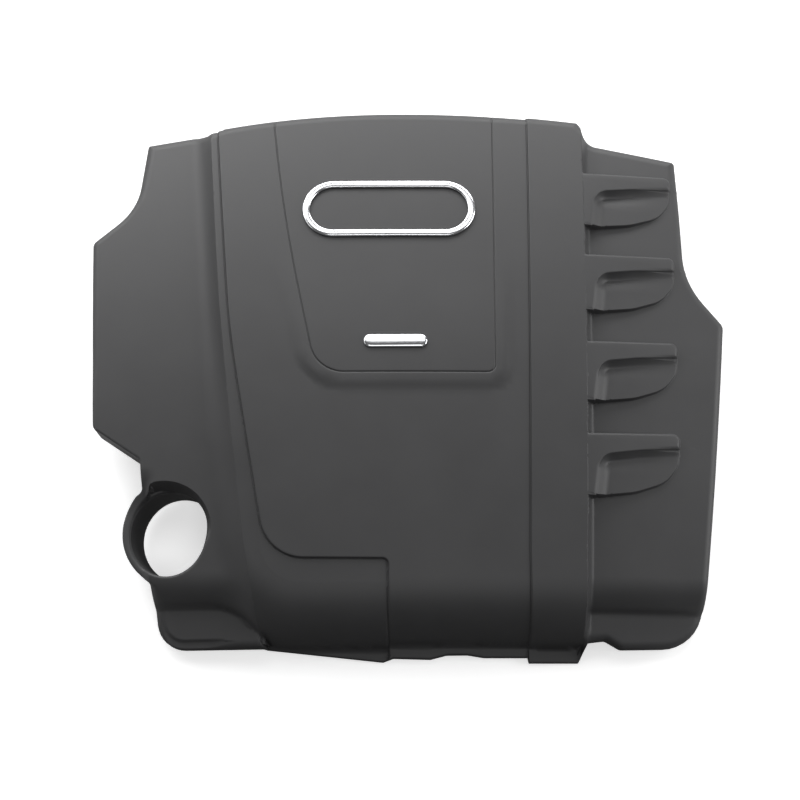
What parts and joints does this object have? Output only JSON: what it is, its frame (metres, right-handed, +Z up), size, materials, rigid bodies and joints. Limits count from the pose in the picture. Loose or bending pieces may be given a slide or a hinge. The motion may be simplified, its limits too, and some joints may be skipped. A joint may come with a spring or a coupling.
{
  "type": "engine cover",
  "caption": "Moulded plastic engine cover with a crowned centre, stepped side gills, a filler well, foam underside pad and push-on rubber sockets.",
  "frame": {"origin": "centre of the cover's plan, on the plane of its lowest edges", "axes": "+X to the right of the cover, +Y to its rear, +Z up out of its top"},
  "size_m": [0.5645, 0.496, 0.0827],
  "materials": {
    "moulded_plastic": "fine grained matt moulding",
    "acoustic_foam": "open-cell foam",
    "grommet_rubber": "moulded rubber",
    "bright_trim": "satin chrome plate",
    "spring_steel": "plain spring steel"
  },
  "bodies": {
    "root": {"cover_shell": "moulded_plastic", "acoustic_foam_pad": "acoustic_foam", "grommet_rear_left": "grommet_rubber", "grommet_rear_right": "grommet_rubber", "grommet_front_left": "grommet_rubber", "grommet_front_right": "grommet_rubber", "trim_loop": "bright_trim", "trim_bar": "bright_trim", "trim_push_nuts": "spring_steel"}
  },
  "joints": []
}
